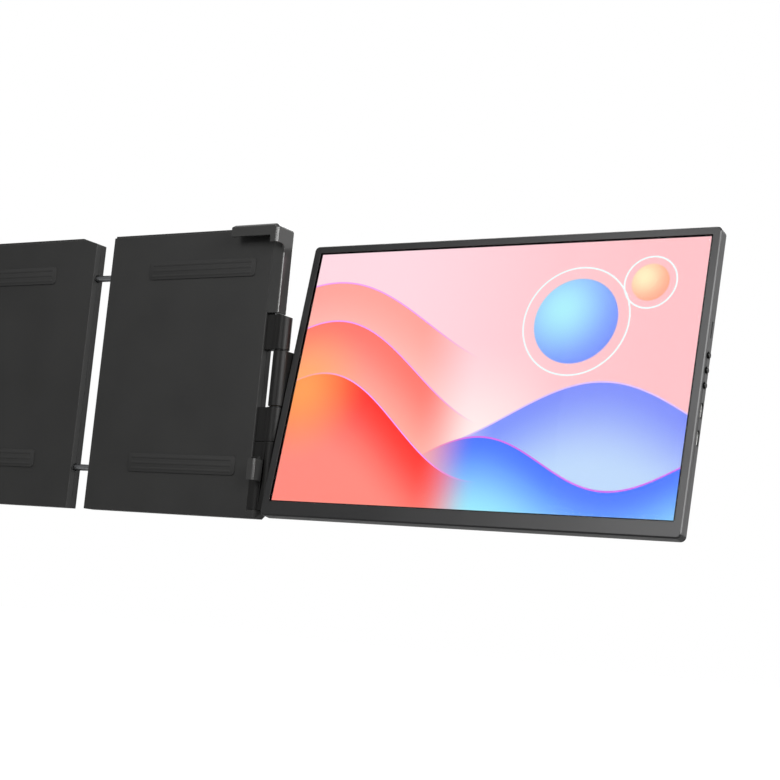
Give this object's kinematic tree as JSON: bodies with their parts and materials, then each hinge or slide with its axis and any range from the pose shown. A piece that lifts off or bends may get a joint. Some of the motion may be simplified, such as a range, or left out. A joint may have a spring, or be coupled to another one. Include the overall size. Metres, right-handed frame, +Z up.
{
  "type": "clip-on laptop screen extender",
  "caption": "Second screen that hangs beside a laptop's lid: telescoping back frame with corner and side clips, swing and tilt hinge, folding kickstand, buttons and USB-C ports.",
  "frame": {"origin": "middle of the frame's width, on the plane of the lid's back, level with the lid's top edge", "axes": "+X to the user's right, +Y behind the lid, +Z up the lid; the screen faces -Y"},
  "size_m": [0.6731, 0.0462, 0.2147],
  "materials": {
    "shell_plastic": "fine moulded grain, satin",
    "column_metal": "bead-blasted and dark anodised",
    "screen_metal": "fine blasted, dark anodised",
    "spring_steel": "ground",
    "chassis_sheet": "rolled sheet",
    "bearing_bronze": "turned",
    "guide_plastic": "moulded, low-friction",
    "pad_rubber": "fine textured",
    "cover_glass": "hard glossy with an anti-reflection coat",
    "panel_picture": "lit picture, pink ground with coral, blue and magenta shapes",
    "diffuser_film": "white satin",
    "circuit_board": "solder mask",
    "black_plastic": "smooth",
    "port_steel": "drawn, nickel plated",
    "button_plastic": "polished"
  },
  "bodies": {
    "frame_right": {"right_front_shell": "shell_plastic", "right_rear_cover": "shell_plastic", "right_spine": "spring_steel", "right_corner_clip": "column_metal", "right_side_rail": "column_metal", "right_side_clip": "column_metal", "right_lid_pads": "pad_rubber", "right_clip_foam": "pad_rubber", "right_shell_screws": "spring_steel", "right_column_screws": "spring_steel", "right_end_cap": "shell_plastic", "upper_knuckle": "column_metal", "lower_knuckle": "column_metal", "hinge_pin": "spring_steel", "hinge_washers": "spring_steel", "width_rods": "spring_steel", "rod_anchors": "column_metal", "kickstand_pins": "spring_steel"},
    "frame_left": {"left_front_shell": "shell_plastic", "left_rear_cover": "shell_plastic", "left_spine": "spring_steel", "left_corner_clip": "column_metal", "left_side_rail": "column_metal", "left_side_clip": "column_metal", "left_lid_pads": "pad_rubber", "left_clip_foam": "pad_rubber", "left_shell_screws": "spring_steel", "left_column_screws": "spring_steel", "left_end_cap": "shell_plastic", "rod_guides": "guide_plastic"},
    "kickstand": {"kickstand": "shell_plastic", "kickstand_foot": "pad_rubber"},
    "arm": {"hinge_arm": "column_metal", "hinge_bushes": "bearing_bronze", "tilt_pin": "spring_steel", "tilt_washers": "spring_steel", "tilt_nut": "spring_steel"},
    "screen": {"tilt_bracket": "spring_steel", "tilt_cover": "screen_metal", "front_bezel": "screen_metal", "cover_glass": "cover_glass", "display_panel": "panel_picture", "backlight": "diffuser_film", "chassis": "chassis_sheet", "rear_cover": "screen_metal", "rear_screws": "spring_steel", "controller_board": "circuit_board", "button_board": "circuit_board", "speakers": "black_plastic", "usb_shells": "port_steel", "usb_tongues": "black_plastic", "side_grille": "black_plastic"},
    "upper_button": {"upper_button": "button_plastic"},
    "middle_button": {"middle_button": "button_plastic"},
    "lower_button": {"lower_button": "button_plastic"}
  },
  "joints": [
    {"name": "screen_swing", "type": "hinge", "parent": "frame_right", "child": "arm", "pos_m": [0.1773, 0.00645, -0.11], "axis": [0, 0, 1], "range_deg": [-40, 55]},
    {"name": "screen_tilt", "type": "hinge", "parent": "arm", "child": "screen", "pos_m": [0.1905, 0.02309, -0.11], "axis": [-1, 0, 0], "range_deg": [-10, 15]},
    {"name": "width_slide", "type": "slide", "parent": "frame_right", "child": "frame_left", "axis": [-1, 0, 0], "range_m": [-0.017, 0.06]},
    {"name": "kickstand_swing", "type": "hinge", "parent": "frame_right", "child": "kickstand", "pos_m": [0.09, 0.0104, -0.0675], "axis": [1, 0, 0], "range_deg": [0, 75]},
    {"name": "upper_button_press", "type": "slide", "parent": "screen", "child": "upper_button", "axis": [-1, 0, 0], "range_m": [0, 0.0004], "stiffness_N_per_m": 900},
    {"name": "middle_button_press", "type": "slide", "parent": "screen", "child": "middle_button", "axis": [-1, 0, 0], "range_m": [0, 0.0004], "stiffness_N_per_m": 900},
    {"name": "lower_button_press", "type": "slide", "parent": "screen", "child": "lower_button", "axis": [-1, 0, 0], "range_m": [0, 0.0004], "stiffness_N_per_m": 900}
  ]
}
